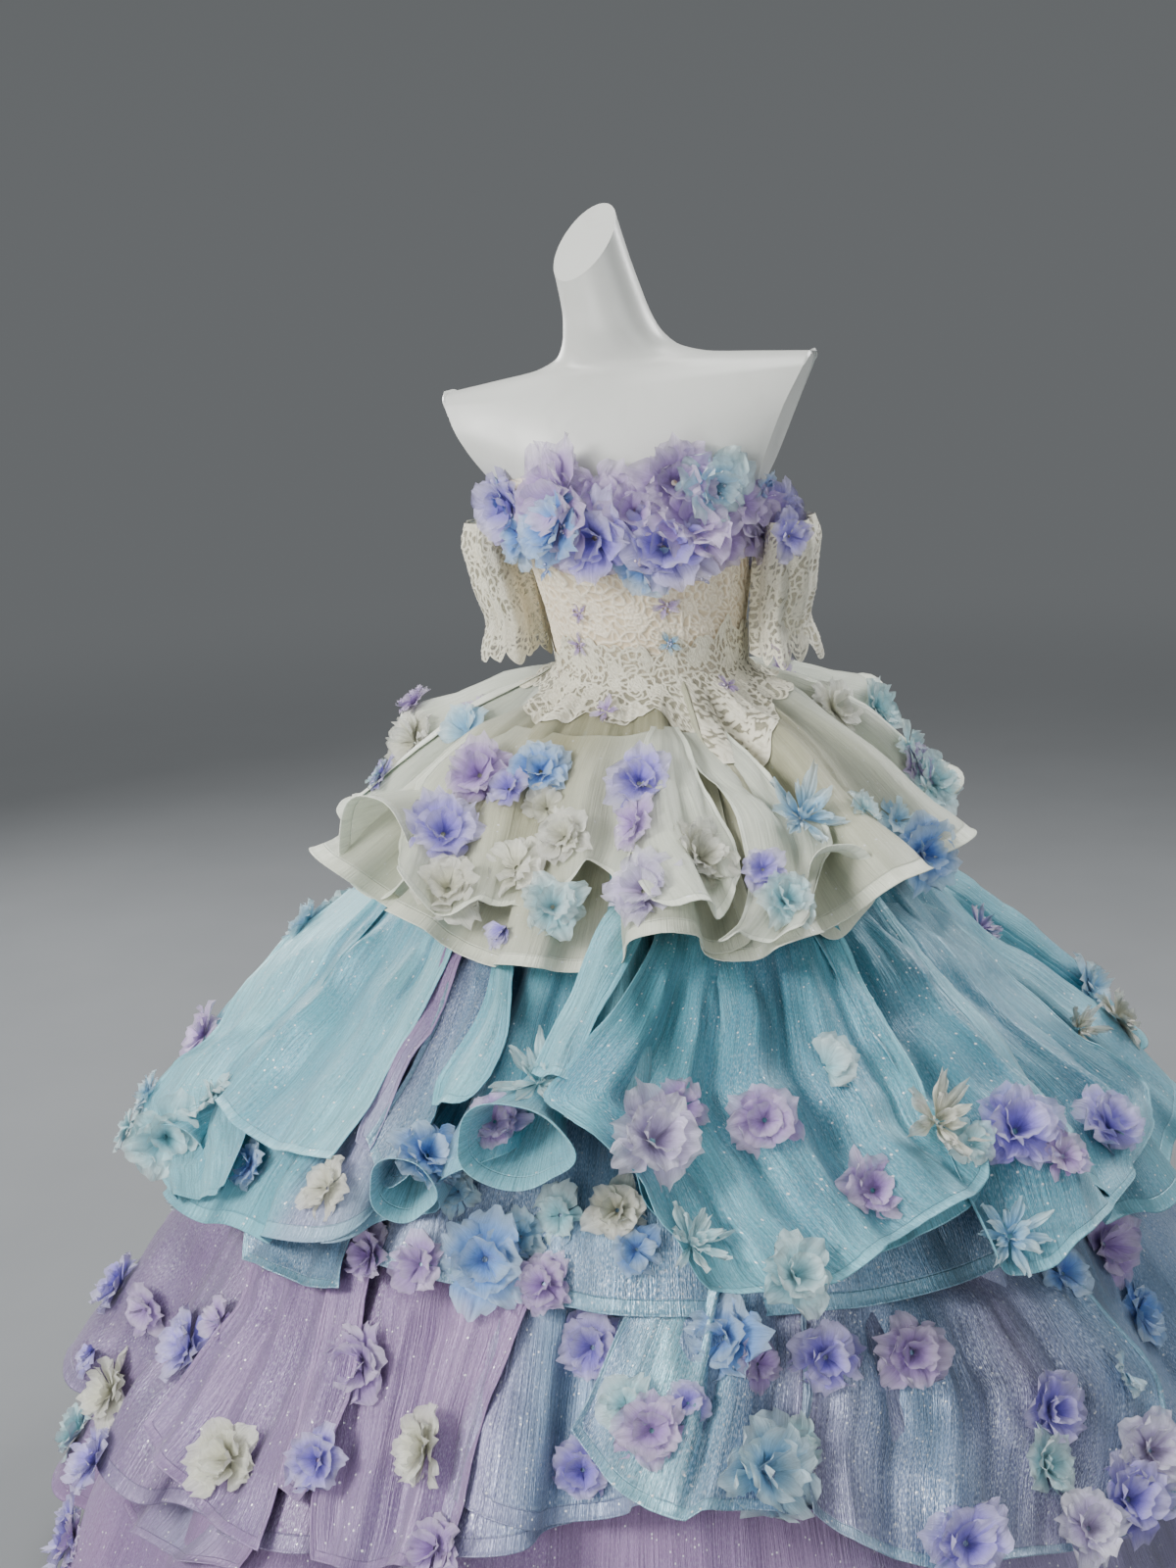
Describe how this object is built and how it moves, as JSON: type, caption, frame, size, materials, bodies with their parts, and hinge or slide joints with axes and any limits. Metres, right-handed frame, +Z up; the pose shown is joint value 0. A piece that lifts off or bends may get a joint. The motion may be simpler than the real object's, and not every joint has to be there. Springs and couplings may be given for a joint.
{
  "type": "ball gown on a limbless dress form",
  "caption": "Off-shoulder ball gown with a lace bodice, fluted peplum, tiered flounced skirt and sewn organza flowers, standing on a limbless dress form with pole and base.",
  "frame": {"origin": "centre of the base plate's underside, on the floor under the pole", "axes": "+Z up, the gown's front faces -Y, +X is the wearer's left"},
  "size_m": [1.4916, 1.4927, 1.5725],
  "materials": {
    "form_white": "satin",
    "pole_steel": "brushed",
    "base_white": "satin",
    "corded_lace": "matt corded lace",
    "ivory_organza": "soft satin sheen",
    "turquoise_organza": "crisp, shot, with glitter",
    "silver_blue_lame": "metallic shot weave",
    "lilac_organza": "crinkled, shot, with glitter",
    "petals": "matt crumpled organza"
  },
  "bodies": {
    "root": {"form_base": "base_white", "form_pole": "pole_steel", "form_body": "form_white", "bodice_front": "corded_lace", "bodice_back_left": "corded_lace", "bodice_back_right": "corded_lace", "sleeve_left": "corded_lace", "sleeve_right": "corded_lace", "neckline_flowers": "petals", "waist_lace": "corded_lace", "peplum_front_right": "ivory_organza", "peplum_front_left": "ivory_organza", "peplum_back": "ivory_organza", "upper_tier_side_right": "turquoise_organza", "upper_tier_centre": "turquoise_organza", "upper_tier_front_left": "turquoise_organza", "upper_tier_side_left": "turquoise_organza", "upper_tier_back_left": "turquoise_organza", "upper_tier_back_right": "turquoise_organza", "under_tier_front": "silver_blue_lame", "under_tier_back": "silver_blue_lame", "middle_tier_front_right": "lilac_organza", "middle_tier_front_left": "silver_blue_lame", "middle_tier_back_left": "silver_blue_lame", "middle_tier_back_right": "lilac_organza", "lower_tier_front": "lilac_organza", "lower_tier_back": "lilac_organza", "underskirt_front": "lilac_organza", "underskirt_back": "lilac_organza"}
  },
  "joints": []
}
